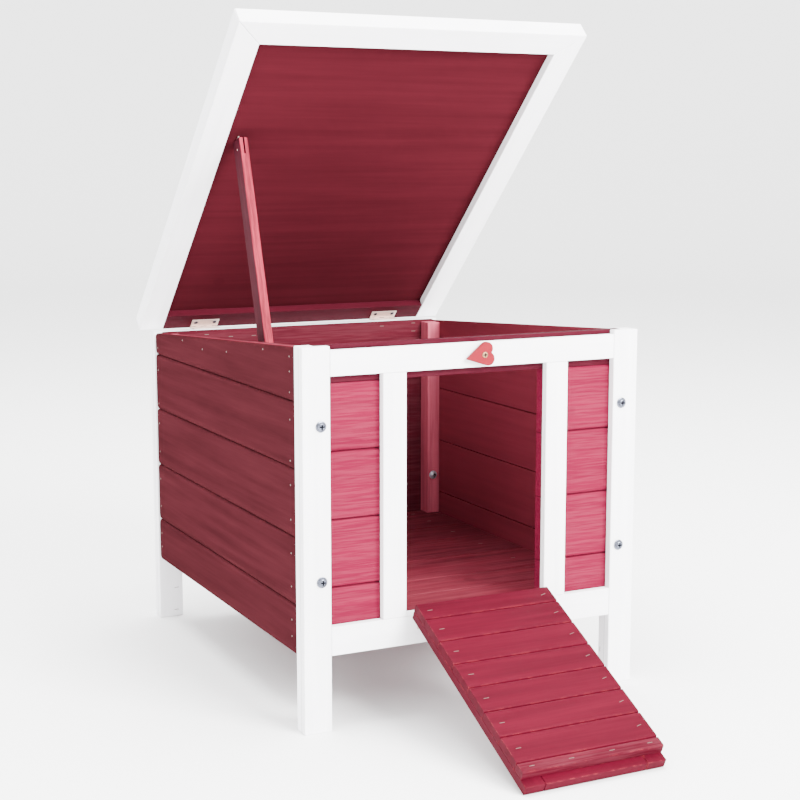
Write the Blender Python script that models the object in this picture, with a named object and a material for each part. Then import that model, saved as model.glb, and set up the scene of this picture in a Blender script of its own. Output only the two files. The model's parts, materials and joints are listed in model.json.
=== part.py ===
"""Wooden hen house on legs with a propped, hinged flat lid, a drop-down ramp door and a
heart-shaped turn button.

House frame used below: x runs across (0 at mid width), y runs back from the front face of
the front frame (y = 0), z is up from the ground. The whole model is then moved along y so
that the world origin is the bottom centre of its bounding box.
"""
from math import asin, atan2, cos, hypot, pi, radians, sin

import bmesh
import bpy

# ---------------------------------------------------------------- driving dimensions (m)
GAP = 0.0003                # gap between pieces that touch
WIDTH = 0.420               # over the posts
DEPTH = 0.517               # front face to back face
FRONT_H = 0.420             # front posts
BACK_H = 0.389              # back posts and back top rail

FACE_T = 0.009              # white face boards of the front frame
BACKING_T = 0.012           # layer behind the face boards, and the front infill
POST_W = 0.032
BACKING_W = 0.017           # strip behind each front post
BACK_POST_T = 0.0186
BACK_RAIL_H = 0.028

TOP_RAIL_Z = (0.388, 0.4154)
BOTTOM_RAIL_Z = (0.0845, 0.1165)
HEADER_Z = (0.380, 0.420)
STILE_X = (0.088, 0.116)    # inner and outer edge of a door stile, from mid width
INFILL_JOINTS = (0.1571, 0.2314, 0.3059)

SIDE_SET_IN = 0.002         # side boards behind the posts' outer faces
SIDE_T = 0.0085
SIDE_JOINTS = (0.0814, 0.1370, 0.2116, 0.2865, 0.3592)
SIDE_TOP_FRONT = 0.4184
SIDE_TOP_BACK = 0.3871
BACK_BOARD_T = 0.0088
BACK_JOINTS = (0.0840, 0.1250, 0.1990, 0.2730, 0.3470)
LAP = 0.005                 # height of a shiplap tongue
LAP_CLEAR = 0.0014          # open joint seen on the inside of a side wall
LOWER_EDGE = (0.0035, 0.007)  # rounded lower edge of a board: depth, height
UPPER_EDGE = (0.003, 0.004)   # rounded upper edge of a board: depth, height
EDGE_STEPS = 4

BATTEN_X = 0.0188
BATTEN_Y = 0.022
TOP_BATTEN = 0.018
BATTEN_DROP = 0.0015        # batten tops below the side walls' top edge
FLOOR_TOP = 0.112
FLOOR_T = 0.010
FLOOR_GROOVE = 0.0024
FLOOR_JOINTS = (0.090, 0.147, 0.232, 0.316, 0.386, 0.456)
BEARER = 0.018
BEARER_X = 0.159

BOLT_IN = 0.021             # bolt axis from the outer face of the posts
BOLT_Z = (0.1675, 0.3356)
BOLT_R = 0.0026
BOLT_HOLE_R = 0.0031
BOLT_REACH = 0.038
WASHER_R = 0.006
WASHER_T = 0.001
BOLT_HEAD_R = 0.0046
BOLT_HEAD_H = 0.0026

LID_OPEN = radians(43.7)    # underside above the horizontal when propped
LID_W = 0.4443
LID_L = 0.5367
LID_T = 0.021
LID_RAIL_W = 0.032
LID_LIP_W = 0.010           # white rim left standing round the panel
LID_RECESS = 0.010          # rails and back batten stand this far below the panel
LID_PANEL_T = 0.009
LID_BATTEN_W = 0.027
LID_OVERHANG = 0.0015       # lid behind the hinge axis

BARREL_R = 0.0024
PIN_R = 0.0012
LID_LEAF_L = 0.0155
FRAME_LEAF_T = 0.0008
LID_LEAF_T = 0.0010
LID_HINGE_W = 0.038
LID_HINGE_X = 0.1335
LID_SEAT = 0.00265          # lid underside above the hinge axis
LID_AXIS = (0.5202, 0.3885)

STAY_SECTION = (0.0105, 0.022)
STAY_X = -0.177             # left face of the prop stick
STAY_LEAN = radians(17.73)  # from the vertical
STAY_PIVOT = (0.3459, -0.00435)  # along the lid from its axis, and square to it
STAY_ABOVE = 0.0125
STAY_BELOW = 0.2515
STAY_PIN_R = 0.0012
TAB_T = 0.0015              # steel tab in the slit at the stick's upper end
TAB_HALF = 0.005
TAB_ROOT = 0.003            # tab let into the panel
SLIT_DEPTH = 0.0076         # slit below the pin

RAMP_SLOPE = radians(25.7)
RAMP_HALF_W = 0.0835
RAMP_DECK_T = 0.0098
RAMP_FRAME_T = 0.0104
RAMP_STRINGER_W = 0.023
RAMP_CROSS_W = 0.022
RAMP_FIRST = 0.0261         # first, narrow board
RAMP_PITCH = 0.0360
RAMP_BOARDS = 7
RAMP_LIP = 0.0135
RAMP_GAP = 0.0008           # open joint between deck boards
RAMP_EDGE = 0.0018          # rounding of the deck boards' top edges
RAMP_NOSE = 0.0106          # frame beyond the deck
RAMP_START = 0.0021         # ramp end from the axis
RAMP_SEAT = 0.0006          # ramp underside above the axis
RAMP_AXIS = (-0.0020, 0.1160)
RAMP_HINGE_W = 0.150
RAMP_LEAF_L = 0.015
RAMP_LEAF_T = 0.001
RAMP_BARREL_R = 0.0017
RAMP_PIN_R = 0.0009

HEART_AT = (0.0037, 0.4021)
HEART_TIP = 0.0218
HEART_LOBE_R = 0.0074
HEART_LOBE_AT = (0.0043, 0.0058)
HEART_T = 0.006
HEART_BACK = -0.0020        # back face of the heart, clear of the closed ramp
HEART_SPACER_R = 0.005
HEART_TURN = radians(11.1)  # tip below the horizontal
HEART_SCREW_HOLE_R = 0.0023
HEART_STEPS = 10

SOFTEN = 0.0006             # chamfer on sawn edges
LEAF_EDGE = 0.0004          # hinge leaf from its barrel
WEB_INSET = 0.00007         # webs that carry the knuckles, inside the leaf's faces

PAINT_WHITE = (0.90, 0.90, 0.92)
STAIN_RED = (0.36, 0.065, 0.095)
STAIN_PINK = (0.55, 0.13, 0.18)
STAIN_DARK = (0.22, 0.03, 0.045)
HEART_SALMON = (0.68, 0.22, 0.20)
ZINC = (0.72, 0.72, 0.74)


# ---------------------------------------------------------------- materials and helpers
def make_material(name, colour, roughness, metallic=0.0):
    material = bpy.data.materials.new(name)
    material.use_nodes = True
    shader = material.node_tree.nodes["Principled BSDF"]
    shader.inputs["Base Color"].default_value = (*colour, 1.0)
    shader.inputs["Roughness"].default_value = roughness
    shader.inputs["Metallic"].default_value = metallic
    return material


def finish(bm, name, material, parent, smooth=False):
    """Turn a bmesh into a named object under a parent."""
    bmesh.ops.recalc_face_normals(bm, faces=bm.faces)
    mesh = bpy.data.meshes.new(name)
    bm.to_mesh(mesh)
    bm.free()
    if smooth:
        mesh.shade_smooth()
        mesh.set_sharp_from_angle(angle=radians(35))
    part = bpy.data.objects.new(name, mesh)
    part.data.materials.append(material)
    part.parent = parent
    bpy.context.scene.collection.objects.link(part)
    return part


def soften(part, width=SOFTEN):
    """Small chamfer on every sawn edge."""
    bevel = part.modifiers.new("sawn_edges", "BEVEL")
    bevel.width = width
    bevel.segments = 1
    bevel.limit_method = "ANGLE"
    bevel.angle_limit = radians(50)
    bevel.use_clamp_overlap = True
    return part


def prism(name, outline, span, axis, material, parent, smooth=False):
    """Extrude a closed outline along one axis. The outline's pairs are the other two
    coordinates in x, y, z order."""
    bm = bmesh.new()

    def point(pair, along):
        coordinates = list(pair)
        coordinates.insert("xyz".index(axis), along)
        return bm.verts.new(coordinates)

    near = [point(pair, span[0]) for pair in outline]
    far = [point(pair, span[1]) for pair in outline]
    bm.faces.new(near)
    bm.faces.new(far)
    for index in range(len(outline)):
        following = (index + 1) % len(outline)
        bm.faces.new((near[index], near[following], far[following], far[index]))
    return finish(bm, name, material, parent, smooth)


def box(name, x, y, z, material, parent):
    """Softened rectangular piece between three pairs of limits."""
    outline = [(x[0], y[0]), (x[1], y[0]), (x[1], y[1]), (x[0], y[1])]
    return soften(prism(name, outline, z, "z", material, parent))


def plain_box(name, x, y, z, material, parent):
    outline = [(x[0], y[0]), (x[1], y[0]), (x[1], y[1]), (x[0], y[1])]
    return prism(name, outline, z, "z", material, parent)


def circle(centre, radius, steps):
    turn = 2 * pi / steps
    return [
        (centre[0] + radius * cos(turn * k), centre[1] + radius * sin(turn * k))
        for k in range(steps)
    ]


def cut(part, cutter):
    """Subtract a cutter, which is left out of the finished object."""
    cutter.hide_render = True
    cutter.display_type = "WIRE"
    boolean = part.modifiers.new("cut", "BOOLEAN")
    boolean.operation = "DIFFERENCE"
    boolean.object = cutter
    return part


def join_solid(part, addition):
    """Fuse an overlapping solid into a part, leaving one body."""
    addition.hide_render = True
    addition.display_type = "WIRE"
    boolean = part.modifiers.new("fuse", "BOOLEAN")
    boolean.operation = "UNION"
    boolean.object = addition
    return part


def axis_empty(name, location, rotation_x, parent):
    """Empty on a hinge line, with its own x axis along the hinge."""
    empty = bpy.data.objects.new(name, None)
    empty.location = location
    empty.rotation_euler = (rotation_x, 0.0, 0.0)
    empty.parent = parent
    bpy.context.scene.collection.objects.link(empty)
    return empty


# ---------------------------------------------------------------- board sections
def lower_edge(height):
    """Rounded lower edge of a board, from its face down to its underside."""
    depth, rise = LOWER_EDGE
    turns = [0.5 * pi * step / EDGE_STEPS for step in range(EDGE_STEPS + 1)]
    return [(depth * (1 - cos(t)), height + rise * (1 - sin(t))) for t in turns]


def upper_edge(height):
    """Rounded upper edge of a board, from its top out to its face."""
    depth, drop = UPPER_EDGE
    turns = [0.5 * pi * step / EDGE_STEPS for step in range(EDGE_STEPS, -1, -1)]
    return [(depth * (1 - cos(t)), height - drop * (1 - sin(t))) for t in turns]


def lap_section(bottom, top, lapped_top, lapped_bottom):
    """Outline (depth, height) of one shiplap side board, depth 0 on its face."""
    half = SIDE_T / 2
    outline = lower_edge(bottom)
    if lapped_bottom:
        rebate = bottom + LAP + LAP_CLEAR
        outline += [(half, bottom), (half, rebate), (SIDE_T, rebate)]
    else:
        outline += [(SIDE_T, bottom)]
    if lapped_top:
        tongue = top + LAP - GAP
        outline += [(SIDE_T, tongue), (half + GAP, tongue), (half + GAP, top - GAP)]
    else:
        outline += [(SIDE_T, top - GAP)]
    return outline + upper_edge(top - GAP)


def stack_section(levels, thickness):
    """Outline (depth, height) of boards joined edge to edge, with a rounded groove on the
    face at each joint."""
    outline = [(thickness, levels[-1]), (thickness, levels[0])]
    face = []
    for low, high in zip(levels[:-1], levels[1:]):
        stretch = list(reversed(lower_edge(low))) + list(reversed(upper_edge(high)))
        if face:
            face[-1] = ((face[-1][0] + stretch[0][0]) / 2, low)
            stretch = stretch[1:]
        face += stretch
    return outline + face


# ---------------------------------------------------------------- front frame
def bolt_cutters(side, depth_span, root):
    """One cutter for each bolt hole in a corner."""
    cutters = []
    x_axis = side * (WIDTH / 2 - BOLT_IN)
    for height in BOLT_Z:
        ring = circle((x_axis, height), BOLT_HOLE_R, 12)
        cutters.append(prism("bolt_cutter", ring, depth_span, "y", MATERIALS["zinc"], root))
    return cutters


def build_front_frame(root):
    white = MATERIALS["white"]
    rail_half = WIDTH / 2 - POST_W - GAP
    layer = (FACE_T + GAP, FACE_T + GAP + BACKING_T)
    for side, label in ((-1, "left"), (1, "right")):
        outer = side * WIDTH / 2
        inner = side * (WIDTH / 2 - POST_W)
        post_x = (min(outer, inner), max(outer, inner))
        post = box(f"front_post_{label}", post_x, (0, layer[1]), (0, FRONT_H), white, root)
        strip_edge = side * (WIDTH / 2 - BACKING_W)
        slot_end = side * (WIDTH / 2 - POST_W - 0.01)
        slot_x = (min(strip_edge, slot_end), max(strip_edge, slot_end))
        slot_y = (FACE_T, layer[1] + 0.01)
        slot_z = (BOTTOM_RAIL_Z[0] - GAP, FRONT_H + 0.01)
        cut(post, plain_box("slot_cutter", slot_x, slot_y, slot_z, white, root))
        for cutter in bolt_cutters(side, (-0.01, 0.03), root):
            cut(post, cutter)
        stile_x = sorted((side * STILE_X[0], side * STILE_X[1]))
        stile_z = (BOTTOM_RAIL_Z[1] + GAP, TOP_RAIL_Z[0] - GAP)
        box(f"door_stile_{label}", stile_x, (0, FACE_T), stile_z, white, root)
    rail_x = (-rail_half, rail_half)
    box("front_top_rail", rail_x, (0, FACE_T), TOP_RAIL_Z, white, root)
    sill = STILE_X[0] - GAP
    plan = [
        (-rail_half, 0), (rail_half, 0), (rail_half, FACE_T), (sill, FACE_T),
        (sill, layer[1]), (-sill, layer[1]), (-sill, FACE_T), (-rail_half, FACE_T),
    ]
    soften(prism("front_bottom_rail", plan, BOTTOM_RAIL_Z, "z", white, root))
    strip = WIDTH / 2 - BACKING_W - GAP
    box("door_header", (-strip, strip), layer, HEADER_Z, MATERIALS["red"], root)


def build_infill(root):
    """Boards either side of the doorway, nailed behind the face boards."""
    levels = (BOTTOM_RAIL_Z[0], *INFILL_JOINTS, HEADER_Z[0] - GAP)
    section = stack_section(levels, BACKING_T)
    outline = [(FACE_T + GAP + depth, height) for depth, height in section]
    for side, label in ((-1, "left"), (1, "right")):
        span = sorted((side * (STILE_X[0] + GAP), side * (WIDTH / 2 - BACKING_W - GAP)))
        panel = prism(f"front_infill_{label}", outline, span, "x", MATERIALS["pink"], root)
        for cutter in bolt_cutters(side, (-0.01, 0.03), root):
            cut(panel, cutter)


# ---------------------------------------------------------------- back, sides and floor
FRONT_INSIDE = FACE_T + GAP + BACKING_T + GAP
BACK_INSIDE = DEPTH - BACK_POST_T - GAP
SIDE_INSIDE = WIDTH / 2 - SIDE_SET_IN - SIDE_T - GAP


def side_top(y):
    """Height of the side walls' sloping top edge."""
    share = (y - FRONT_INSIDE) / (BACK_INSIDE - FRONT_INSIDE)
    return SIDE_TOP_FRONT + share * (SIDE_TOP_BACK - SIDE_TOP_FRONT)


def build_back(root):
    white = MATERIALS["white"]
    back_y = (DEPTH - BACK_POST_T, DEPTH)
    for side, label in ((-1, "left"), (1, "right")):
        x = sorted((side * WIDTH / 2, side * (WIDTH / 2 - POST_W)))
        box(f"back_post_{label}", x, back_y, (0, BACK_H), white, root)
    half = WIDTH / 2 - POST_W - GAP
    box("back_top_rail", (-half, half), back_y, (BACK_H - BACK_RAIL_H, BACK_H), white, root)
    section = stack_section((*BACK_JOINTS, BACK_H - GAP), BACK_BOARD_T)
    outline = [(BACK_INSIDE - depth, height) for depth, height in section]
    span = (-SIDE_INSIDE, SIDE_INSIDE)
    prism("back_boards", outline, span, "x", MATERIALS["dark"], root)


def build_sides(root):
    """Five shiplap boards a side; the top one is tapered along the sloping top edge."""
    count = len(SIDE_JOINTS)
    for side, label in ((-1, "left"), (1, "right")):
        face_x = side * (WIDTH / 2 - SIDE_SET_IN)
        for index, bottom in enumerate(SIDE_JOINTS):
            last = index == count - 1
            name = f"side_board_{label}_{index + 1}"
            tops = (SIDE_TOP_FRONT, SIDE_TOP_BACK) if last else (SIDE_JOINTS[index + 1],) * 2
            ends = [lap_section(bottom, top, not last, index > 0) for top in tops]
            loft_board(name, ends, face_x, side, root)


def loft_board(name, ends, face_x, side, root):
    """Board running front to back between two sections."""
    bm = bmesh.new()
    rings = []
    for section, y in zip(ends, (FRONT_INSIDE, BACK_INSIDE)):
        rings.append([bm.verts.new((face_x - side * d, y, h)) for d, h in section])
    near, far = rings
    bm.faces.new(near)
    bm.faces.new(far)
    for index in range(len(near)):
        following = (index + 1) % len(near)
        bm.faces.new((near[index], near[following], far[following], far[index]))
    return finish(bm, name, MATERIALS["red"], root)


def build_battens(root):
    """Square corner battens that the bolts draw up against the posts."""
    dark = MATERIALS["dark"]
    back_face = BACK_INSIDE - BACK_BOARD_T - GAP
    rows = (
        ("front", FRONT_INSIDE, FRONT_INSIDE + BATTEN_Y),
        ("back", back_face - BATTEN_Y, back_face),
    )
    for side, label in ((-1, "left"), (1, "right")):
        x = sorted((side * SIDE_INSIDE, side * (SIDE_INSIDE - BATTEN_X)))
        for row, y0, y1 in rows:
            top = side_top(y1) - BATTEN_DROP
            z = (FLOOR_TOP + GAP, top)
            batten = box(f"corner_batten_{row}_{label}", x, (y0, y1), z, dark, root)
            if row == "front":
                for cutter in bolt_cutters(side, (0, BOLT_REACH + 0.002), root):
                    cut(batten, cutter)
    y = (FRONT_INSIDE + BATTEN_Y + GAP, back_face - BATTEN_Y - GAP)
    outline = [
        (y[0], side_top(y[0]) - BATTEN_DROP - TOP_BATTEN),
        (y[1], side_top(y[1]) - BATTEN_DROP - TOP_BATTEN),
        (y[1], side_top(y[1]) - BATTEN_DROP),
        (y[0], side_top(y[0]) - BATTEN_DROP),
    ]
    span = (-SIDE_INSIDE, -SIDE_INSIDE + TOP_BATTEN)
    soften(prism("left_top_batten", outline, span, "x", dark, root))


def build_floor(root):
    """Floor boards across the house, nailed down to two bearers."""
    depth = BACK_INSIDE - BACK_BOARD_T - GAP
    joints = (FRONT_INSIDE, *FLOOR_JOINTS)
    outline = []
    for low, high in zip(joints, (*FLOOR_JOINTS, depth)):
        outline += [(low, FLOOR_TOP - FLOOR_GROOVE), (low + FLOOR_GROOVE, FLOOR_TOP)]
        outline += [(high - FLOOR_GROOVE, FLOOR_TOP)]
    outline += [(depth, FLOOR_TOP - FLOOR_GROOVE)]
    outline += [(depth, FLOOR_TOP - FLOOR_T), (FRONT_INSIDE, FLOOR_TOP - FLOOR_T)]
    half = SIDE_INSIDE
    prism("floor_boards", outline, (-half, half), "x", MATERIALS["dark"], root)
    top = FLOOR_TOP - FLOOR_T - GAP
    for side, label in ((-1, "left"), (1, "right")):
        middle = side * BEARER_X
        x = (middle - BEARER / 2, middle + BEARER / 2)
        z = (top - BEARER, top)
        box(f"floor_bearer_{label}", x, (FRONT_INSIDE, depth), z, MATERIALS["dark"], root)


def build_bolts(root):
    """Pan-head machine screws with washers through the front posts."""
    for side, label in ((-1, "left"), (1, "right")):
        x_axis = side * (WIDTH / 2 - BOLT_IN)
        for row, height in zip(("lower", "upper"), BOLT_Z):
            profile = [
                (0, -GAP - WASHER_T - BOLT_HEAD_H),
                (BOLT_HEAD_R * 0.75, -GAP - WASHER_T - BOLT_HEAD_H * 0.86),
                (BOLT_HEAD_R, -GAP - WASHER_T - BOLT_HEAD_H * 0.4),
                (BOLT_HEAD_R, -GAP - WASHER_T),
                (WASHER_R, -GAP - WASHER_T),
                (WASHER_R, -GAP),
                (BOLT_R, -GAP),
                (BOLT_R, BOLT_REACH),
                (0, BOLT_REACH),
            ]
            turned(f"bolt_{row}_{label}", profile, (x_axis, height), root)


def turned(name, profile, centre, root):
    """Turned piece about a line along y: profile pairs are (radius, y)."""
    steps = 16
    bm = bmesh.new()
    rings = []
    for radius, y in profile:
        if radius == 0:
            rings.append([bm.verts.new((centre[0], y, centre[1]))])
            continue
        ring = circle(centre, radius, steps)
        rings.append([bm.verts.new((x, y, z)) for x, z in ring])
    for near, far in zip(rings[:-1], rings[1:]):
        for k in range(steps):
            following = (k + 1) % steps
            if len(near) == 1:
                bm.faces.new((near[0], far[k], far[following]))
            elif len(far) == 1:
                bm.faces.new((near[k], far[0], near[following]))
            else:
                bm.faces.new((near[k], far[k], far[following], near[following]))
    return finish(bm, name, MATERIALS["zinc"], root, smooth=True)


# ---------------------------------------------------------------- lid
def build_lid(axis):
    """Lid in its own frame: -y runs from the hinge to the free edge, z is square to it."""
    white = MATERIALS["white"]
    back = LID_OVERHANG
    free = back - LID_L
    half = LID_W / 2
    low = LID_SEAT
    high = LID_SEAT + LID_T
    shelf = low + LID_RECESS
    inner = half - LID_RAIL_W
    lip = half - LID_LIP_W
    for side, label in ((-1, "left"), (1, "right")):
        plan = [
            (side * half, back), (side * inner, back),
            (side * inner, free + LID_RAIL_W + GAP), (side * half, free + GAP),
        ]
        rail = soften(prism(f"lid_rail_{label}", plan, (low, high), "z", white, axis))
        x = sorted((side * (inner - 0.01), side * lip))
        y = (free + LID_LIP_W, back + 0.01)
        cut(rail, plain_box("rebate_cutter", x, y, (shelf, high + 0.01), white, axis))
    plan = [
        (-half + GAP, free), (half - GAP, free),
        (inner - GAP, free + LID_RAIL_W), (-inner + GAP, free + LID_RAIL_W),
    ]
    rail = soften(prism("lid_rail_front", plan, (low, high), "z", white, axis))
    y = (free + LID_LIP_W, free + LID_RAIL_W + 0.01)
    cut(rail, plain_box("rebate_cutter", (-half, half), y, (shelf, high + 0.01), white, axis))
    x = (-lip + GAP, lip - GAP)
    y = (free + LID_LIP_W + GAP, back)
    panel_z = (shelf + GAP, shelf + LID_PANEL_T)
    box("lid_panel", x, y, panel_z, MATERIALS["panel"], axis)
    x = (-inner + GAP, inner - GAP)
    box("lid_back_batten", x, (back - LID_BATTEN_W, back), (low, shelf), MATERIALS["red"], axis)


def hinge_leaf(name, centre, width, reach, dims, knuckles, parent, with_pin=False):
    """Hinge leaf whose pin line is the parent's x axis. Reach is signed along y; dims are
    the leaf's two faces in z, the barrel radius and the pin radius."""
    near_z, far_z, barrel_r, pin_r = dims
    zinc = MATERIALS["zinc"]
    sign = 1 if reach > 0 else -1
    leaf_x = (centre - width / 2, centre + width / 2)
    y = sorted((sign * (barrel_r + LEAF_EDGE), reach))
    z = sorted((near_z, far_z))
    leaf = plain_box(name, leaf_x, y, z, zinc, parent)
    part = width / 5
    for knuckle in knuckles:
        start = leaf_x[0] + knuckle * part + GAP / 2
        stop = start + part - GAP
        ring = circle((0, 0), barrel_r, 16)
        tube = prism("knuckle", ring, (start, stop), "x", zinc, parent, smooth=True)
        join_solid(leaf, tube)
        web_y = sorted((sign * barrel_r * 0.2, sign * (barrel_r + 2 * LEAF_EDGE)))
        web_x = (start + WEB_INSET, stop - WEB_INSET)
        web_z = (z[0] + WEB_INSET, z[1] - WEB_INSET)
        web = plain_box("web", web_x, web_y, web_z, zinc, parent)
        join_solid(leaf, web)
    ring = circle((0, 0), pin_r, 12)
    span = (leaf_x[0] + GAP, leaf_x[1] - GAP)
    if with_pin:
        join_solid(leaf, prism("pin", ring, span, "x", zinc, parent, smooth=True))
    else:
        ring = circle((0, 0), pin_r + GAP, 12)
        span = (leaf_x[0] - 0.001, leaf_x[1] + 0.001)
        cut(leaf, prism("pin_cutter", ring, span, "x", zinc, parent))
    return leaf


def build_lid_hinges(lid_axis, root):
    """Two folded butt hinges between the back rail and the lid's back batten."""
    seat = axis_empty("lid_hinge_seat", (0, *LID_AXIS), 0.0, root)
    for side, label in ((-1, "left"), (1, "right")):
        centre = side * LID_HINGE_X
        low = BACK_H + GAP / 2 - LID_AXIS[1]
        fixed = (low, low + FRAME_LEAF_T, BARREL_R, PIN_R)
        name = f"lid_hinge_{label}_frame_leaf"
        hinge_leaf(name, centre, LID_HINGE_W, -LID_LEAF_L, fixed, (0, 2, 4), seat, True)
        under = LID_SEAT - GAP / 2
        moving = (under, under - LID_LEAF_T, BARREL_R, PIN_R)
        name = f"lid_hinge_{label}_lid_leaf"
        hinge_leaf(name, centre, LID_HINGE_W, -LID_LEAF_L, moving, (1, 3), lid_axis)


def build_stay(lid_axis):
    """Prop stick that turns on a pin through a steel tab let into the lid panel."""
    along, square = STAY_PIVOT
    zinc = MATERIALS["zinc"]
    pivot = axis_empty("stay_axis", (0, -along, square), LID_OPEN - STAY_LEAN, lid_axis)
    half = STAY_SECTION[1] / 2
    x = (STAY_X, STAY_X + STAY_SECTION[0])
    middle = STAY_X + STAY_SECTION[0] / 2
    stick = box("prop_stick", x, (-half, half), (-STAY_BELOW, STAY_ABOVE), MATERIALS["pink"], pivot)
    slit_x = (middle - TAB_T / 2 - GAP, middle + TAB_T / 2 + GAP)
    slit_z = (-SLIT_DEPTH, STAY_ABOVE + 0.01)
    cut(stick, plain_box("slit_cutter", slit_x, (-0.02, 0.02), slit_z, zinc, pivot))
    ring = circle((0, 0), STAY_PIN_R + GAP, 12)
    cut(stick, prism("pin_cutter", ring, (x[0] - 0.01, x[1] + 0.01), "x", zinc, pivot))
    tab_x = (middle - TAB_T / 2, middle + TAB_T / 2)
    tab_y = (-along - TAB_HALF, -along + TAB_HALF)
    panel_z = LID_SEAT + LID_RECESS
    tab = plain_box("prop_tab", tab_x, tab_y, (square - TAB_HALF, panel_z + TAB_ROOT), zinc, lid_axis)
    ring = circle((-along, square), STAY_PIN_R, 12)
    join_solid(tab, prism("pin", ring, (x[0] + GAP, x[1] - GAP), "x", zinc, lid_axis, smooth=True))
    pocket_y = (tab_y[0] - GAP, tab_y[1] + GAP)
    pocket_z = (panel_z - 0.01, panel_z + TAB_ROOT + GAP)
    pocket = plain_box("pocket_cutter", slit_x, pocket_y, pocket_z, zinc, lid_axis)
    cut(bpy.data.objects["lid_panel"], pocket)


# ---------------------------------------------------------------- ramp
def ramp_board_section(start, stop):
    """Deck board section (y, z) in the ramp's frame, with lightly rounded top edges."""
    low = RAMP_SEAT + RAMP_FRAME_T + GAP
    high = low + RAMP_DECK_T - GAP
    middle = RAMP_EDGE * (1 - cos(pi / 4))
    return [
        (-start, low), (-start, high - RAMP_EDGE), (-start - middle, high - middle),
        (-start - RAMP_EDGE, high), (-stop + RAMP_EDGE, high), (-stop + middle, high - middle),
        (-stop, high - RAMP_EDGE), (-stop, low),
    ]


def build_ramp(axis):
    """Ramp in its own frame: -y runs down the slope from the hinge, z is square to it."""
    red = MATERIALS["ramp"]
    half = RAMP_HALF_W
    stops = [RAMP_START + RAMP_FIRST + RAMP_PITCH * k for k in range(RAMP_BOARDS)]
    start = RAMP_START
    for index, stop in enumerate(stops):
        section = ramp_board_section(start + RAMP_GAP / 2, stop - RAMP_GAP / 2)
        prism(f"ramp_board_{index + 1}", section, (-half, half), "x", red, axis)
        start = stop
    deck_end = stops[-1] + RAMP_LIP
    end = deck_end + RAMP_NOSE
    frame_z = (RAMP_SEAT, RAMP_SEAT + RAMP_FRAME_T)
    for side, label in ((-1, "left"), (1, "right")):
        x = sorted((side * half, side * (half - RAMP_STRINGER_W)))
        box(f"ramp_stringer_{label}", x, (-end, -RAMP_START), frame_z, MATERIALS["pink"], axis)
    section = ramp_board_section(stops[-1] + RAMP_GAP / 2, deck_end)
    prism("ramp_lip_strip", section, (-half, half), "x", red, axis)
    inner = half - RAMP_STRINGER_W - GAP
    box("ramp_cross_rail", (-inner, inner), (-end, -end + RAMP_CROSS_W), frame_z, red, axis)


def build_ramp_hinge(ramp_axis, root):
    """One strip hinge on the bottom rail's front, under both of the ramp's stringers."""
    seat = axis_empty("ramp_hinge_seat", (0, *RAMP_AXIS), pi / 2, root)
    face = -RAMP_AXIS[0] - GAP / 2
    fixed = (-face, -face + RAMP_LEAF_T, RAMP_BARREL_R, RAMP_PIN_R)
    name = "ramp_hinge_rail_leaf"
    hinge_leaf(name, 0.0, RAMP_HINGE_W, -RAMP_LEAF_L, fixed, (0, 2, 4), seat, True)
    under = RAMP_SEAT - GAP / 2
    moving = (under, under - RAMP_LEAF_T, RAMP_BARREL_R, RAMP_PIN_R)
    name = "ramp_hinge_ramp_leaf"
    hinge_leaf(name, 0.0, RAMP_HINGE_W, -RAMP_LEAF_L, moving, (1, 3), ramp_axis)


# ---------------------------------------------------------------- heart button
def heart_outline():
    """Heart with its screw at (0, 0), tip towards -x: two lobe arcs and straight flanks."""
    along, across = HEART_LOBE_AT
    reach = hypot(along + HEART_TIP, across)
    bearing = atan2(across, along + HEART_TIP)
    touch = bearing + asin(HEART_LOBE_R / reach) + pi / 2
    notch = -asin(across / HEART_LOBE_R)
    upper = []
    for step in range(HEART_STEPS + 1):
        angle = touch + (notch - touch) * step / HEART_STEPS
        upper.append((along + HEART_LOBE_R * cos(angle), across + HEART_LOBE_R * sin(angle)))
    lower = [(x, -y) for x, y in reversed(upper[:-1])]
    return [(-HEART_TIP, 0.0)] + upper + lower


def build_heart(root):
    pivot = bpy.data.objects.new("heart_axis", None)
    pivot.location = (HEART_AT[0], 0.0, HEART_AT[1])
    pivot.rotation_euler = (0.0, -HEART_TURN, 0.0)
    pivot.parent = root
    bpy.context.scene.collection.objects.link(pivot)
    outline = heart_outline()
    span = (HEART_BACK - HEART_T, HEART_BACK)
    heart = prism("heart_button", outline, span, "y", MATERIALS["salmon"], pivot, smooth=True)
    soften(heart, 0.0008)
    ring = circle((0, 0), HEART_SPACER_R, 24)
    spacer_span = (HEART_BACK - GAP, -GAP)
    spacer = prism("spacer", ring, spacer_span, "y", MATERIALS["salmon"], pivot, smooth=True)
    join_solid(heart, spacer)
    ring = circle((0, 0), HEART_SCREW_HOLE_R, 12)
    cut(heart, prism("screw_cutter", ring, (-0.01, 0.01), "y", MATERIALS["salmon"], pivot))


# ---------------------------------------------------------------- assembly
def model_shift():
    """Middle of the model's bounding box along y, in the house frame."""
    corner = LID_OVERHANG * cos(LID_OPEN) + (LID_SEAT + LID_T) * sin(LID_OPEN)
    back = LID_AXIS[0] + corner
    reach = RAMP_START + RAMP_FIRST + RAMP_PITCH * (RAMP_BOARDS - 1) + RAMP_LIP + RAMP_NOSE
    top = RAMP_SEAT + RAMP_FRAME_T
    front = RAMP_AXIS[0] - reach * cos(RAMP_SLOPE) - top * sin(RAMP_SLOPE)
    return (front + back) / 2


def clear_scene():
    for existing in list(bpy.data.objects):
        bpy.data.objects.remove(existing, do_unlink=True)


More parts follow.
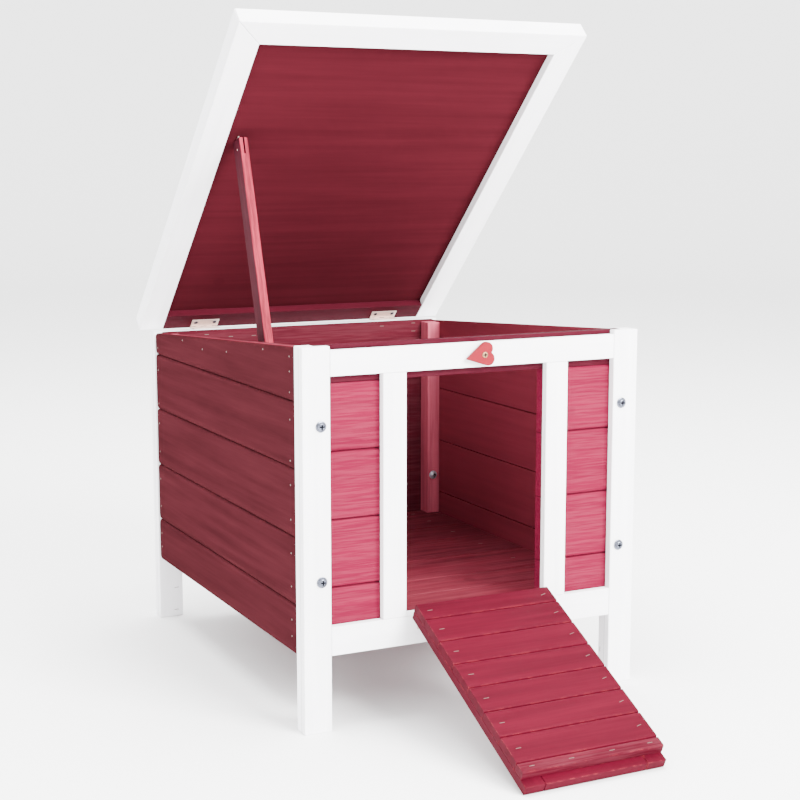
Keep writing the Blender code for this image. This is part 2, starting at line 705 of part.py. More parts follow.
def main():
    root = bpy.data.objects.new("coop", None)
    root.location = (0.0, -model_shift(), 0.0)
    bpy.context.scene.collection.objects.link(root)
    build_front_frame(root)
    build_infill(root)
    build_back(root)
    build_sides(root)
    build_battens(root)
    build_floor(root)
    build_bolts(root)
    lid_axis = axis_empty("lid_axis", (0, *LID_AXIS), -LID_OPEN, root)
    build_lid(lid_axis)
    build_lid_hinges(lid_axis, root)
    build_stay(lid_axis)
    ramp_axis = axis_empty("ramp_axis", (0, *RAMP_AXIS), RAMP_SLOPE, root)
    build_ramp(ramp_axis)
    build_ramp_hinge(ramp_axis, root)
    build_heart(root)


clear_scene()
MATERIALS = {
    "white": make_material("white_paint", PAINT_WHITE, 0.55),
    "red": make_material("red_stain", STAIN_RED, 0.6),
    "pink": make_material("pink_stain", STAIN_PINK, 0.7),
    "dark": make_material("inner_stain", STAIN_DARK, 0.7),
    "panel": make_material("lid_stain", STAIN_RED, 0.5),
    "ramp": make_material("ramp_stain", STAIN_RED, 0.6),
    "salmon": make_material("heart_paint", HEART_SALMON, 0.6),
    "zinc": make_material("zinc_plate", ZINC, 0.35, 1.0),
}
main()
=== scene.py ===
import json
from math import cos, pi, radians, sin

import bmesh
import bpy
from mathutils import Matrix, Vector


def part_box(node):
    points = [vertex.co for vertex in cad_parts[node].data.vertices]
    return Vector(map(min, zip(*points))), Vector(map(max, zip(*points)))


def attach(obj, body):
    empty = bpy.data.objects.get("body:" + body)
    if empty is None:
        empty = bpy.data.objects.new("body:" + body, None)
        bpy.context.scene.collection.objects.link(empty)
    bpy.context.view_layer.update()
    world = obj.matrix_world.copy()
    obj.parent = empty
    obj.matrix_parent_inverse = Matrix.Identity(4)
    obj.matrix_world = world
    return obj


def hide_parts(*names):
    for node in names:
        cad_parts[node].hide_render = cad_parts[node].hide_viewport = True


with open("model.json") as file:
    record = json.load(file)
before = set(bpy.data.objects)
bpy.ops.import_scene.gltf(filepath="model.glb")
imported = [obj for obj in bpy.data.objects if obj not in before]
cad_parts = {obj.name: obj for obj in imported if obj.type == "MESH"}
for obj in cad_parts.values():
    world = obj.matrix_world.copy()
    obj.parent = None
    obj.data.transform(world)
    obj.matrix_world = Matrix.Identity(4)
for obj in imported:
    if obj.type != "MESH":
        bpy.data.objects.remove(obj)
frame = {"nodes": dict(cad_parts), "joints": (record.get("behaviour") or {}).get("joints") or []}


def write_size():
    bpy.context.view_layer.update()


write_size()

# ---------------------------------------------------------------- reference places
NODES = frame["nodes"]
JOINTS = {joint["name"]: Vector(joint["pos_m"]) for joint in frame["joints"]}
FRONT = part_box("front_post_left")[0].y      # front face of the front frame
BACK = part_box("back_post_left")[1].y
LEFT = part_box("front_post_left")[0].x
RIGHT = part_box("front_post_right")[1].x
LID_TILT = radians(43.7)
RAMP_TILT = radians(25.7)
STICK_LEAN = radians(17.73)
LID_SEAT = 0.00265          # lid's underside above the hinge line
LID_LENGTH = 0.5352         # hinge line to the lid's free edge
LID_RIM = 0.0104            # width of the rim round the felt
LID_MIDDLE = 0.012          # screw line above the lid's underside
PANEL_TOP = 0.019           # panel's outer face above the lid's underside
RIM_TOP = 0.021             # rim's outer face above the lid's underside
FELT_BACK = -0.0012         # felt's edge behind the hinge line
RAMP_START = 0.0021         # hinge line to the first deck board
RAMP_FIRST_END = 0.0282     # hinge line to the end of the first deck board
RAMP_PITCH = 0.036          # from one deck board to the next
RAMP_BOARDS = 7
RAMP_DECK = 0.0006 + 0.0104 + 0.0098  # seat, frame and deck boards
HALF_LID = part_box("lid_rail_right")[1].x
EPS = 0.00008


def lid_place(x, along, out):
    """Point on the lid: along it from the hinge, and square to it."""
    step = Vector((0, -cos(LID_TILT), sin(LID_TILT))) * along
    rise = Vector((0, sin(LID_TILT), cos(LID_TILT))) * out
    return Vector((x, JOINTS["lid_hinge"].y, JOINTS["lid_hinge"].z)) + step + rise


def ramp_place(x, along, out):
    step = Vector((0, -cos(RAMP_TILT), -sin(RAMP_TILT))) * along
    rise = Vector((0, -sin(RAMP_TILT), cos(RAMP_TILT))) * out
    return Vector((x, JOINTS["ramp_hinge"].y, JOINTS["ramp_hinge"].z)) + step + rise


LID_OUT = Vector((0, sin(LID_TILT), cos(LID_TILT)))
LID_DOWN = Vector((0, cos(LID_TILT), -sin(LID_TILT)))
RAMP_UP = Vector((0, -sin(RAMP_TILT), cos(RAMP_TILT)))


# ---------------------------------------------------------------- materials
def linear(rgb):
    return tuple((c / 255 / 12.92) if c < 11 else ((c / 255 + 0.055) / 1.055) ** 2.4 for c in rgb)


class Graph:
    """Short way to add and link shader nodes."""

    def __init__(self, name):
        self.material = bpy.data.materials.new(name)
        self.material.use_nodes = True
        self.tree = self.material.node_tree
        self.shader = self.tree.nodes["Principled BSDF"]

    def add(self, kind, **settings):
        node = self.tree.nodes.new(kind)
        for key, value in settings.items():
            setattr(node, key, value)
        return node

    def link(self, source, target):
        self.tree.links.new(source, target)

    def math(self, operation, first, second=None):
        node = self.add("ShaderNodeMath", operation=operation)
        for socket, value in zip(node.inputs, (first, second)):
            if value is None:
                continue
            if isinstance(value, (int, float)):
                socket.default_value = value
            else:
                self.link(value, socket)
        return node.outputs[0]

    def noise(self, vector, scale, detail=4.0, rough=0.55):
        node = self.add("ShaderNodeTexNoise")
        node.inputs["Scale"].default_value = scale
        node.inputs["Detail"].default_value = detail
        node.inputs["Roughness"].default_value = rough
        self.link(vector, node.inputs["Vector"])
        return node.outputs["Fac"]

    def ramp(self, factor, low, high):
        node = self.add("ShaderNodeMapRange")
        node.inputs["From Min"].default_value = low
        node.inputs["From Max"].default_value = high
        self.link(factor, node.inputs["Value"])
        return node.outputs["Result"]

    def mix(self, factor, first, second, blend="MIX"):
        node = self.add("ShaderNodeMix", data_type="RGBA", blend_type=blend)
        if isinstance(factor, (int, float)):
            node.inputs[0].default_value = factor
        else:
            self.link(factor, node.inputs[0])
        for socket, value in ((node.inputs[6], first), (node.inputs[7], second)):
            if isinstance(value, tuple):
                socket.default_value = (*value, 1.0)
            else:
                self.link(value, socket)
        return node.outputs[2]


def wood(name, colour, grain, seed, tilt=0.0, rough=0.6, saw=0.0, figure=0.35, bump=0.25,
         wear=None, seams=(), seam_tone=(70, 66, 74), seam_half=0.00045, sheen=0.04,
         inner=None, front_painted_light=None):
    """Stained or painted softwood. grain is the axis the fibres run along; saw adds the
    cross scratches of a saw blade; seams are (axis, place) joints between layers."""
    g = Graph(name)
    base = linear(colour)
    coord = g.add("ShaderNodeTexCoord").outputs["Object"]
    turn = g.add("ShaderNodeMapping", vector_type="POINT")
    turn.inputs["Rotation"].default_value = (tilt, 0, 0)
    turn.inputs["Location"].default_value = (seed * 0.37, seed * 0.73, seed * 0.19)
    g.link(coord, turn.inputs["Vector"])
    stretch = g.add("ShaderNodeMapping", vector_type="POINT")
    scale = [1.0, 1.0, 1.0]
    scale["xyz".index(grain)] = 0.045
    stretch.inputs["Scale"].default_value = scale
    g.link(turn.outputs[0], stretch.inputs["Vector"])
    fibre_space = stretch.outputs[0]
    bands = g.noise(fibre_space, 95, 5.0, 0.6)
    fine = g.noise(fibre_space, 620, 3.0, 0.7)
    cloud = g.noise(turn.outputs[0], 9, 3.0)
    dark = tuple(c * (1 - figure) for c in base)
    pale = tuple(min(1.0, c * (1 + 0.35 * figure)) for c in base)
    tone = g.mix(g.ramp(bands, 0.32, 0.68), dark, pale)
    tone = g.mix(g.math("MULTIPLY", g.ramp(fine, 0.40, 0.72), 0.45 * figure), tone, dark)
    shade = tuple(c * 0.82 for c in base)
    tone = g.mix(g.math("MULTIPLY", g.ramp(cloud, 0.35, 0.75), 0.35), tone, shade)
    height = g.math("ADD", g.math("MULTIPLY", bands, 0.5), g.math("MULTIPLY", fine, 0.5))
    if saw:
        cross = g.noise(fibre_space, 300, 2.0, 0.8)
        streak = g.ramp(cross, 0.42, 0.60)
        scraped = tuple(min(1, c * 1.5 + 0.02) for c in base)
        tone = g.mix(g.math("MULTIPLY", streak, saw), tone, scraped)
        height = g.math("ADD", height, g.math("MULTIPLY", streak, saw))
    # Faces that point to the front get a paler colour: painted light on the lit side
    if front_painted_light:
        direction = g.add("ShaderNodeSeparateXYZ")
        local = g.add("ShaderNodeVectorTransform", vector_type="NORMAL",
                      convert_from="WORLD", convert_to="OBJECT")
        g.link(g.add("ShaderNodeNewGeometry").outputs["True Normal"], local.inputs[0])
        g.link(local.outputs[0], direction.inputs[0])
        front_light_mask = g.ramp(g.math("MULTIPLY", direction.outputs[1], -1.0), 0.5, 0.8)
        front = linear(front_painted_light)
        front_light_grain = g.mix(g.ramp(fine, 0.40, 0.60), tuple(c * 0.5 for c in front), front)
        tone = g.mix(front_light_mask, tone, front_light_grain)
    # inner paints the board faces towards the inside of the house in their own colour: a painted
    # light level, not a different stain
    if inner:
        split = g.add("ShaderNodeSeparateXYZ")
        g.link(coord, split.inputs[0])
        inside_light_mask = g.ramp(g.math("ABSOLUTE", split.outputs[0]), RIGHT - 0.0064, RIGHT - 0.0070)
        inside_light_tone = linear(inner)
        inside_light_grain = g.mix(g.ramp(bands, 0.32, 0.68), tuple(c * 0.85 for c in inside_light_tone), inside_light_tone)
        tone = g.mix(inside_light_mask, tone, inside_light_grain)
    knots = g.add("ShaderNodeTexVoronoi", feature="F1")
    knots.inputs["Scale"].default_value = 6.0
    g.link(turn.outputs[0], knots.inputs["Vector"])
    spot = g.ramp(knots.outputs["Distance"], 0.055, 0.035)
    tone = g.mix(g.math("MULTIPLY", spot, figure), tone, tuple(c * 0.45 for c in base))
    if wear:
        soft = g.add("ShaderNodeBevel", samples=4)
        soft.inputs["Radius"].default_value = 0.0012
        flat = g.add("ShaderNodeNewGeometry").outputs["Normal"]
        dot = g.add("ShaderNodeVectorMath", operation="DOT_PRODUCT")
        g.link(soft.outputs[0], dot.inputs[0])
        g.link(flat, dot.inputs[1])
        edge = g.ramp(dot.outputs["Value"], 0.995, 0.90)
        patchy = g.ramp(g.noise(coord, 120, 4.0), 0.48, 0.62)
        tone = g.mix(g.math("MULTIPLY", g.math("MULTIPLY", edge, patchy), 0.35), tone, linear(wear))
    for axis, place in seams:
        split = g.add("ShaderNodeSeparateXYZ")
        g.link(coord, split.inputs[0])
        away = g.math("ABSOLUTE", g.math("SUBTRACT", split.outputs["xyz".index(axis)], place))
        line = g.ramp(away, seam_half, seam_half / 3)
        tone = g.mix(g.math("MULTIPLY", line, 0.65), tone, linear(seam_tone))
        height = g.math("SUBTRACT", height, g.math("MULTIPLY", line, 1.5))
    g.link(tone, g.shader.inputs["Base Color"])
    g.shader.inputs["Specular IOR Level"].default_value = sheen
    rough_out = g.math("ADD", g.math("MULTIPLY", fine, 0.22), rough - 0.11)
    g.link(rough_out, g.shader.inputs["Roughness"])
    relief = g.add("ShaderNodeBump")
    relief.inputs["Strength"].default_value = bump
    relief.inputs["Distance"].default_value = 0.0006
    g.link(height, relief.inputs["Height"])
    g.link(relief.outputs[0], g.shader.inputs["Normal"])
    return g.material


def metal(name, colour, rough, grime=0.25):
    g = Graph(name)
    coord = g.add("ShaderNodeTexCoord").outputs["Object"]
    stain = g.ramp(g.noise(coord, 260, 4.0), 0.45, 0.70)
    base = linear(colour)
    tone = g.mix(g.math("MULTIPLY", stain, grime), base, tuple(c * 0.5 for c in base))
    g.link(tone, g.shader.inputs["Base Color"])
    scratch = g.noise(coord, 900, 3.0)
    rough_out = g.math("ADD", g.math("MULTIPLY", scratch, 0.3), rough - 0.15)
    g.link(rough_out, g.shader.inputs["Roughness"])
    g.shader.inputs["Metallic"].default_value = 0.9
    relief = g.add("ShaderNodeBump")
    relief.inputs["Strength"].default_value = 0.15
    relief.inputs["Distance"].default_value = 0.0002
    g.link(scratch, relief.inputs["Height"])
    g.link(relief.outputs[0], g.shader.inputs["Normal"])
    return g.material


def felt_material():
    g = Graph("lid_felt")
    coord = g.add("ShaderNodeTexCoord").outputs["Object"]
    grit = g.noise(coord, 1500, 2.0, 0.8)
    broad = g.noise(coord, 14, 3.0)
    tone = g.mix(g.ramp(grit, 0.35, 0.68), linear((46, 48, 52)), linear((104, 106, 110)))
    tone = g.mix(g.math("MULTIPLY", g.ramp(broad, 0.4, 0.7), 0.3), tone, linear((60, 62, 68)))
    g.link(tone, g.shader.inputs["Base Color"])
    g.shader.inputs["Roughness"].default_value = 0.95
    relief = g.add("ShaderNodeBump")
    relief.inputs["Strength"].default_value = 0.6
    relief.inputs["Distance"].default_value = 0.0008
    g.link(grit, relief.inputs["Height"])
    g.link(relief.outputs[0], g.shader.inputs["Normal"])
    return g.material


WHITE = (250, 249, 252)
RED = (63, 26, 31)
PINK = (98, 13, 40)
RAMP = (68, 5, 22)
# Red stain darkened to the shade inside the house: painted shade, used on the floor boards, floor
# bearers and top batten
INNER_PAINTED_SHADE = (89, 25, 37)
# Inner faces of the side boards, set apart from RED to stand in for the light inside the house:
# painted light
WALL_INSIDE_PAINTED_LIGHT = (117, 43, 56)
BATTEN = (174, 78, 96)
PANEL = (63, 19, 26)
SALMON = (115, 23, 35)
PRIMER = (196, 190, 186)
# The stick's front face colour is painted light; STICK below is the darker colour of its shaded
# faces, also painted shade
STICK_FRONT_PAINTED_LIGHT = (142, 43, 59)
STICK = (54, 9, 21)
# Back wall stain darkened to the shade inside the house: painted shade
BACK_WALL_PAINTED_SHADE = (71, 18, 29)
HEADER = (58, 8, 22)
LID_BATTEN = (58, 11, 22)
BARE = (168, 62, 66)


def finish_of(name):
    """Material arguments for a CAD node."""
    paint = dict(colour=WHITE, rough=0.5, wear=PRIMER)
    upright = dict(paint, grain="z", figure=0.08)
    across = dict(paint, grain="x", figure=0.05)
    post_seams = (("y", FRONT + 0.00915),)
    back_seams = (("y", BACK - 0.0093),)
    infill_seams = tuple(("z", z) for z in (0.1571, 0.2314, 0.3059))
    floor_seams = tuple(("y", FRONT + y) for y in (0.090, 0.147, 0.232, 0.316, 0.386, 0.456))
    rules = (
        ("front_post", dict(upright, seams=post_seams)),
        ("back_post", dict(upright, seams=back_seams)),
        ("door_stile", upright),
        ("front_top_rail", across),
        ("front_bottom_rail", across),
        ("back_top_rail", across),
        ("lid_rail_front", across),
        ("lid_rail", dict(paint, grain="y", figure=0.05, tilt=LID_TILT)),
        ("lid_panel", dict(colour=PANEL, grain="x", rough=0.5, figure=0.21, bump=0.12, sheen=0.0)),
        ("lid_back_batten", dict(colour=LID_BATTEN, grain="x", figure=0.3)),
        ("door_header", dict(colour=HEADER, grain="x", rough=0.7, saw=0.1)),
        ("front_infill", dict(colour=PINK, grain="x", rough=0.8, saw=0.28, figure=0.22, bump=0.5,
                              seams=infill_seams, seam_tone=(60, 8, 20), seam_half=0.0012)),
        ("side_board", dict(colour=RED, grain="y", figure=0.32, wear=BARE, inner=WALL_INSIDE_PAINTED_LIGHT,
                            sheen=0.0)),
        ("back_boards", dict(colour=BACK_WALL_PAINTED_SHADE, grain="x", rough=0.8, saw=0.25, figure=0.3,
                             bump=0.5)),
        ("floor_boards", dict(colour=INNER_PAINTED_SHADE, grain="x", rough=0.8, saw=0.3, figure=0.42, bump=0.4,
                              seams=floor_seams, seam_tone=(26, 5, 9), seam_half=0.0018)),
        ("floor_bearer", dict(colour=INNER_PAINTED_SHADE, grain="y", rough=0.8, figure=0.3)),
        ("corner_batten", dict(colour=BATTEN, grain="z", rough=0.8, saw=0.2, figure=0.3)),
        ("left_top_batten", dict(colour=INNER_PAINTED_SHADE, grain="y", rough=0.8, saw=0.2, figure=0.3)),
        ("prop_stick", dict(colour=STICK, grain="z", rough=0.7, saw=0.15, figure=0.25,
                            tilt=STICK_LEAN,
                            front_painted_light=STICK_FRONT_PAINTED_LIGHT)),
        ("ramp_stringer", dict(colour=RAMP, grain="y", figure=0.3, tilt=-RAMP_TILT, wear=BARE)),
        ("ramp_lip", dict(colour=RAMP, grain="x", saw=0.3, figure=0.45, wear=BARE)),
        ("ramp_", dict(colour=RAMP, grain="x", figure=0.35, wear=BARE, bump=0.3)),
        ("heart_button", dict(colour=SALMON, grain="x", rough=0.65, figure=0.08, wear=(112, 52,
                                                                                       40))),
    )
    if "hinge" in name or name == "prop_tab":
        return None
    for prefix, settings in rules:
        if name.startswith(prefix):
            return settings
    return None


ZINC = metal("zinc_bluish", (98, 102, 115), 0.2, 0.6)
BRASSY = metal("heart_screw_metal", (150, 116, 84), 0.45, 0.5)
CREAM_ZINC = metal("zinc_cream", (214, 194, 186), 0.5, 0.12)
WIRE = metal("staple_wire", (112, 92, 88), 0.55, 0.4)
ZINC_INSIDE = metal("zinc_inside", (214, 218, 228), 0.45, 0.3)
ZINC_AGED = metal("zinc_aged", (52, 54, 62), 0.4, 0.4)
# Near black for the sunk cross of every screw head: painted shade in the recess
RECESS_PAINTED_SHADE = metal("drive_recess_painted_shade", (24, 25, 32), 0.7)

for order, name in enumerate(sorted(NODES)):
    node = NODES[name]
    settings = finish_of(name)
    made = wood("wood_" + name, seed=order * 1.7, **settings) if settings else CREAM_ZINC
    node.data.materials.clear()
    node.data.materials.append(made)


# ---------------------------------------------------------------- small hardware
def facing(place, normal, spin=0.0):
    """Matrix that stands a piece made along +z on a surface."""
    turn = Vector((0, 0, 1)).rotation_difference(normal.normalized()).to_matrix().to_4x4()
    return Matrix.Translation(place) @ turn @ Matrix.Rotation(spin, 4, "Z")


def lathe(bm, profile, matrix, steps=20):
    """Turned piece from (radius, height) pairs, closed on the axis at both ends."""
    rings = []
    for radius, height in profile:
        if radius == 0:
            rings.append([bm.verts.new(matrix @ Vector((0, 0, height)))])
            continue
        ring = []
        for k in range(steps):
            angle = 2 * pi * k / steps
            place = Vector((radius * cos(angle), radius * sin(angle), height))
            ring.append(bm.verts.new(matrix @ place))
        rings.append(ring)
    for near, far in zip(rings[:-1], rings[1:]):
        for k in range(steps):
            after = (k + 1) % steps
            if len(near) == 1:
                bm.faces.new((near[0], far[k], far[after]))
            elif len(far) == 1:
                bm.faces.new((near[k], near[after], far[0]))
            else:
                bm.faces.new((near[k], near[after], far[after], far[k]))


def cross_head(bm, radius, height, edge, matrix, drop=0.0009):
    """Screw head with a cross recess: side, rounded shoulder, top with a sunk cross."""
    steps = 24
    arm, half = radius * 0.66, radius * 0.20
    cross = [(half, arm), (half, half), (arm, half), (arm, -half), (half, -half), (half, -arm),
             (-half, -arm), (-half, -half), (-arm, -half), (-arm, half), (-half, half), (-half,
                                                                                         arm)]

    def at(x, y, z):
        return bm.verts.new(matrix @ Vector((x, y, z)))

    rings = []
    for share, level in ((1.0, -EPS), (1.0, edge), (0.92, height * 0.75), (0.72, height)):
        reach = radius * share
        turns = [2 * pi * k / steps for k in range(steps)]
        rings.append([at(reach * cos(t), reach * sin(t), level) for t in turns])
    for near, far in zip(rings[:-1], rings[1:]):
        for k in range(steps):
            after = (k + 1) % steps
            bm.faces.new((near[k], near[after], far[after], far[k]))
    bm.faces.new(rings[0])
    # The sunk cross's walls and floor take the second material, which is painted shade
    top = [at(x, y, height) for x, y in cross]
    low = [at(x * 0.8, y * 0.8, height - drop) for x, y in cross]
    edges = []
    for k in range(12):
        after = (k + 1) % 12
        wall = bm.faces.new((top[k], top[after], low[after], low[k]))
        wall.material_index = 1
        edges.append(bm.edges.get((top[k], top[after])))
    floor = bm.faces.new(low)
    floor.material_index = 1
    edges += [bm.edges.get((rings[-1][k], rings[-1][(k + 1) % steps])) for k in range(steps)]
    bmesh.ops.triangle_fill(bm, edges=edges, use_beauty=True)


def bar(bm, matrix, size):
    """Bar with softened ends, standing half sunk in the surface."""
    x, y, z = (s / 2 for s in size)
    outline = [(-x, -y * 0.5), (-x + y * 0.5, -y), (x - y * 0.5, -y), (x, -y * 0.5),
               (x, y * 0.5), (x - y * 0.5, y), (-x + y * 0.5, y), (-x, y * 0.5)]
    low = [bm.verts.new(matrix @ Vector((a, b, -z))) for a, b in outline]
    high = [bm.verts.new(matrix @ Vector((a * 0.97, b * 0.8, z))) for a, b in outline]
    bm.faces.new(low)
    bm.faces.new(high)
    for k in range(8):
        after = (k + 1) % 8
        bm.faces.new((low[k], low[after], high[after], high[k]))


def piece(name, bm, materials, body, smooth=True):
    bmesh.ops.recalc_face_normals(bm, faces=bm.faces)
    mesh = bpy.data.meshes.new(name)
    bm.to_mesh(mesh)
    bm.free()
    if smooth:
        mesh.shade_smooth()
        mesh.set_sharp_from_angle(angle=radians(40))
    for material in materials:
        mesh.materials.append(material)
    made = bpy.data.objects.new(name, mesh)
    bpy.context.scene.collection.objects.link(made)
    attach(made, body)
    return made


NAIL = [(0, -0.0004), (0.0009, -0.0004), (0.0011, 0.0), (0.0009, 0.00025), (0, 0.00035)]


def nails(name, places, body):
    bm = bmesh.new()
    for place, normal in places:
        lathe(bm, NAIL, facing(place, normal), 14)
    return piece(name, bm, [WIRE], body)


def staples(name, places, body):
    """places: (centre, normal, direction of the crown)."""
    bm = bmesh.new()
    for place, normal, crown in places:
        side = normal.cross(crown).normalized()
        turn = Matrix((crown.normalized(), side, normal.normalized())).transposed().to_4x4()
        bar(bm, Matrix.Translation(place) @ turn, (0.0062, 0.0007, 0.0006))
    return piece(name, bm, [WIRE], body)


def screws(name, places, body, radius, height):
    """Countersunk screws, almost flush with the plate they hold."""
    bm = bmesh.new()
    for index, (place, normal) in enumerate(places):
        cross_head(bm, radius, height, height * 0.25, facing(place, normal, index * 0.83),
                   height * 0.9)
    return piece(name, bm, [ZINC, RECESS_PAINTED_SHADE], body)


def build_bolts():
    for node in ("bolt_lower_left", "bolt_lower_right", "bolt_upper_left", "bolt_upper_right"):
        low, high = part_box(node)
        middle = (low + high) / 2
        reach = high.y - FRONT
        stand = FRONT - low.y
        bm = bmesh.new()
        matrix = facing(Vector((middle.x, FRONT, middle.z)), Vector((0, -1, 0)))
        washer = [(0, 0.0003), (0.006, 0.0003), (0.006, 0.0011), (0.0056, 0.0013), (0, 0.0013)]
        lathe(bm, washer, matrix, 28)
        raised = matrix @ Matrix.Translation((0, 0, 0.0013))
        cross_head(bm, 0.0045, stand - 0.0014, 0.0009, raised, 0.0016)
        lathe(bm, [(0, -reach), (0.0025, -reach), (0.0025, 0.0004), (0, 0.0004)], matrix, 16)
        made = piece("seen_" + node, bm, [ZINC, RECESS_PAINTED_SHADE], "house")
        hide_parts(node)


def build_inner_bolts():
    for side in ("left", "right"):
        low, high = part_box("corner_batten_back_" + side)
        axis_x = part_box("bolt_lower_" + side)
        centre_x = (axis_x[0].x + axis_x[1].x) / 2
        for row in ("lower", "upper"):
            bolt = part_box(f"bolt_{row}_{side}")
            height = (bolt[0].z + bolt[1].z) / 2
            bm = bmesh.new()
            matrix = facing(Vector((centre_x, low.y, height)), Vector((0, -1, 0)))
            lathe(bm, [(0, -0.0001), (0.006, -0.0001), (0.006, 0.001), (0, 0.001)], matrix, 28)
            cross_head(bm, 0.0045, 0.0026, 0.001, matrix @ Matrix.Translation((0, 0, 0.001)),
                       0.0016)
            name = f"inner_bolt_{row}_{side}"
            piece(name, bm, [ZINC_INSIDE, RECESS_PAINTED_SHADE], "house")


def build_wall_nails():
    ends = (0.1005, 0.1190, 0.1560, 0.1930, 0.2300, 0.2680, 0.2945, 0.3390, 0.3685)
    front_only = (0.3908, 0.4068)
    along_top = ((0.3893, 0.3887), (0.3143, 0.3853), (0.2300, 0.3913), (0.1145, 0.4066))
    for side, label in ((-1, "left"), (1, "right")):
        low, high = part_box(f"side_board_{label}_2")
        face = low.x if side < 0 else high.x
        normal = Vector((side, 0, 0))
        places = [(Vector((face, FRONT + 0.0385, z)), normal) for z in ends + front_only]
        places += [(Vector((face, FRONT + 0.4905, z)), normal) for z in ends]
        if side < 0:
            places += [(Vector((face, FRONT + y, z)), normal) for y, z in along_top]
        nails(f"wall_nails_{label}", places, "house")


def build_ramp_staples():
    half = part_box("ramp_board_4")[1].x
    top = RAMP_DECK
    starts = [RAMP_START] + [RAMP_FIRST_END + RAMP_PITCH * k for k in range(RAMP_BOARDS)]
    middles = [(a + b) / 2 for a, b in zip(starts[:-1], starts[1:])]
    places = []
    for along in middles:
        for side in (-1, 1):
            crown = Vector((1, 0, 0)) if side < 0 else Vector((0.9, 0.25, 0.0))
            crown = (crown - RAMP_UP * crown.dot(RAMP_UP)).normalized()
            places.append((ramp_place(side * (half - 0.0115), along, top), RAMP_UP, crown))
    lip = starts[-1] + 0.0068
    for x in (-0.070, -0.024, 0.024, 0.070):
        places.append((ramp_place(x, lip, top), RAMP_UP, Vector((1, 0, 0))))
    staples("ramp_staples", places, "ramp")


def build_house_staples():
    places = []
    back_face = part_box("back_boards")[0].y
    on_back = ((-0.1402, 0.3830), (-0.1063, 0.3787), (-0.0733, 0.3785),
               (0.1188, 0.3824), (0.1684, 0.3845), (0.1685, 0.3731))
    for x, z in on_back:
        places.append((Vector((x, back_face, z)), Vector((0, -1, 0)), Vector((1, 0, 0))))
    back_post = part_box("back_post_left")
    for in_from_side, z in ((0.0234, 0.0397), (0.0226, 0.0090)):
        x = back_post[0].x + in_from_side
        places.append((Vector((x, back_post[0].y, z)), Vector((0, -1, 0)), Vector((1, 0, 0))))
    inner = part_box("front_post_right")[0].x
    places.append((Vector((inner, FRONT + 0.0171, 0.0377)), Vector((-1, 0, 0)), Vector((0, 0, 1))))
    floor_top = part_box("floor_boards")[1].z
    joints = (0.0558, 0.1185, 0.1895, 0.274, 0.351, 0.421, 0.470)
    for x in (-0.159, 0.159):
        for y in joints:
            places.append((Vector((x, FRONT + y, floor_top)), Vector((0, 0, 1)), Vector((1, 0, 0))))
    staples("house_staples", places, "house")


def build_lid_screws():
    level = LID_SEAT + LID_MIDDLE
    places = [(lid_place(x, LID_LENGTH, level), -LID_DOWN) for x in (-0.1775, -0.0002, 0.1771)]
    for side in (-1, 1):
        for along in (0.0435, 0.2695, 0.4895):
            places.append((lid_place(side * HALF_LID, along, level), Vector((side, 0, 0))))
    bm = bmesh.new()
    for index, (place, normal) in enumerate(places):
        matrix = facing(place - normal * 0.00045, normal, index * 0.9)
        cross_head(bm, 0.0036, 0.0004, 0.0001, matrix, 0.0004)
    piece("lid_edge_screws", bm, [ZINC_AGED, RECESS_PAINTED_SHADE], "lid")
    leaf = []
    for side, label in ((-1, "left"), (1, "right")):
        box_low, box_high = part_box(f"lid_hinge_{label}_lid_leaf")
        for x in (box_low.x + 0.006, box_high.x - 0.006):
            leaf.append((lid_place(x, 0.0105, 0.0015), -LID_OUT))
    screws("lid_hinge_screws", leaf, "lid", 0.0028, 0.00035)


def build_heart_screw():
    low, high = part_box("heart_button")
    centre = JOINTS["heart_swivel"]
    bm = bmesh.new()
    matrix = facing(Vector((centre.x, low.y, centre.z)), Vector((0, -1, 0)))
    cross_head(bm, 0.0034, 0.0010, 0.0004, matrix, 0.0008)
    lathe(bm, [(0, -0.0075), (0.0018, -0.0075), (0.0018, 0.0001), (0, 0.0001)], matrix, 14)
    piece("heart_screw", bm, [BRASSY, RECESS_PAINTED_SHADE], "heart")


def build_felt():
    """Mineral felt laid on the panel between the lid's white rim."""
    low = LID_SEAT + PANEL_TOP + EPS
    high = LID_SEAT + RIM_TOP - EPS
    half = HALF_LID - LID_RIM
    across, down = 24, 28
    bm = bmesh.new()
    grid = []
    for row in range(down + 1):
        along = FELT_BACK + (LID_LENGTH - LID_RIM - FELT_BACK) * row / down
        line = []
        for column in range(across + 1):
            x = -half + 2 * half * column / across
            sag = 0.00025 * (1 + sin(x * 61 + along * 37)) / 2
            line.append(bm.verts.new(lid_place(x, along, high - sag)))
        grid.append(line)
    for row in range(down):
        near, far = grid[row], grid[row + 1]
        for column in range(across):
            bm.faces.new((near[column], near[column + 1], far[column + 1], far[column]))
    rim = [e for e in bm.edges if e.is_boundary]
    made = bmesh.ops.extrude_edge_only(bm, edges=rim)
    fresh = [v for v in made["geom"] if isinstance(v, bmesh.types.BMVert)]
    for vert in fresh:
        depth = (vert.co - lid_place(0, 0, 0)).dot(LID_OUT)
        vert.co -= LID_OUT * (depth - low)
    bmesh.ops.holes_fill(bm, edges=[e for e in bm.edges if e.is_boundary], sides=0)
    piece("lid_felt", bm, [felt_material()], "lid")


build_bolts()
build_inner_bolts()
build_wall_nails()
build_ramp_staples()
build_house_staples()
build_lid_screws()
build_heart_screw()
build_felt()


# ---------------------------------------------------------------- stage, light, camera
FLOOR_DROP = 0.0001         # floor below the feet
CAMERA_TURN = (radians(26.4545), radians(8.5795))  # to the right, and down
CAMERA_OFFSET = (-0.63362, -1.50230, 0.61100)  # from the foot of the left front post
SENSOR = 36.0
FOCAL_LENGTH = 1581.106 * SENSOR / 800


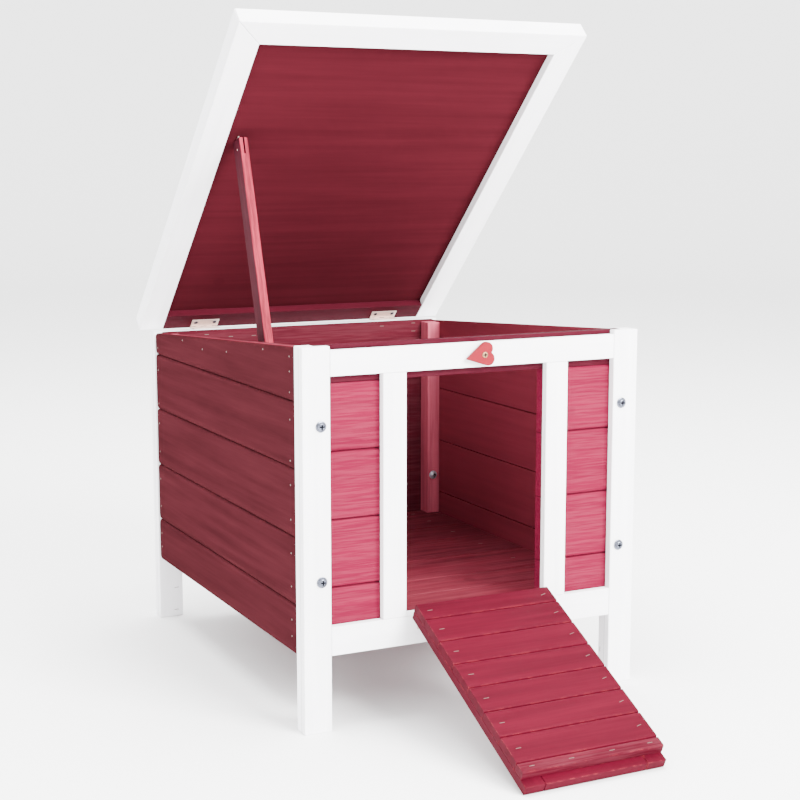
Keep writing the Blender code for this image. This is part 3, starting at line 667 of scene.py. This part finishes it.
def build_stage():
    """Pale floor that curves up into a round backdrop on every side."""
    flat, curve, wall, steps = 6.0, 1.6, 5.0, 64
    profile = [(0.0, 0.0), (flat, 0.0)]
    for step in range(1, 13):
        angle = 0.5 * pi * step / 12
        profile.append((flat + curve * sin(angle), curve * (1 - cos(angle))))
    profile.append((flat + curve, wall))
    bm = bmesh.new()
    rings = []
    for radius, z in profile:
        if radius == 0.0:
            rings.append([bm.verts.new((0, 0, -FLOOR_DROP))])
            continue
        turns = [2 * pi * k / steps for k in range(steps)]
        rings.append([bm.verts.new((radius * cos(t), radius * sin(t),
                                    z - FLOOR_DROP)) for t in turns])
    for near, far in zip(rings[:-1], rings[1:]):
        for k in range(steps):
            after = (k + 1) % steps
            if len(near) == 1:
                bm.faces.new((near[0], far[k], far[after]))
            else:
                bm.faces.new((near[k], far[k], far[after], near[after]))
    mesh = bpy.data.meshes.new("studio_floor")
    bm.to_mesh(mesh)
    bm.free()
    mesh.shade_smooth()
    g = Graph("studio_pale")
    g.shader.inputs["Base Color"].default_value = (0.93, 0.93, 0.93, 1)
    g.shader.inputs["Roughness"].default_value = 0.8
    mesh.materials.append(g.material)
    floor = bpy.data.objects.new("studio_floor", mesh)
    bpy.context.scene.collection.objects.link(floor)


def area_light(name, place, target, size, power):
    data = bpy.data.lights.new(name, "AREA")
    data.shape = "SQUARE"
    data.size = size
    data.energy = power
    made = bpy.data.objects.new(name, data)
    made.location = place
    made.rotation_euler = (Vector(target) - Vector(place)).to_track_quat("-Z", "Y").to_euler()
    bpy.context.scene.collection.objects.link(made)


def build_camera():
    yaw, pitch = CAMERA_TURN
    across, ahead_of, up = CAMERA_OFFSET
    data = bpy.data.cameras.new("view")
    data.sensor_width = SENSOR
    data.lens = FOCAL_LENGTH
    camera = bpy.data.objects.new("view", data)
    camera.location = (LEFT + across, FRONT + ahead_of, up)
    ahead = Vector((sin(yaw) * cos(pitch), cos(yaw) * cos(pitch), -sin(pitch)))
    camera.rotation_euler = ahead.to_track_quat("-Z", "Y").to_euler()
    bpy.context.scene.collection.objects.link(camera)
    bpy.context.scene.camera = camera


world = bpy.data.worlds.new("studio")
world.use_nodes = True
world.node_tree.nodes["Background"].inputs["Color"].default_value = (1, 1, 1, 1)
world.node_tree.nodes["Background"].inputs["Strength"].default_value = 3.0
bpy.context.scene.world = world
build_stage()
area_light("key", (1.1, -3.0, 2.0), (0, 0, 0.3), 1.8, 640)
area_light("fill", (-2.4, -1.6, 1.4), (0, 0, 0.3), 1.6, 40)
area_light("top", (0.0, 0.4, 3.0), (0, 0, 0.2), 2.4, 300)
build_camera()
write_size()
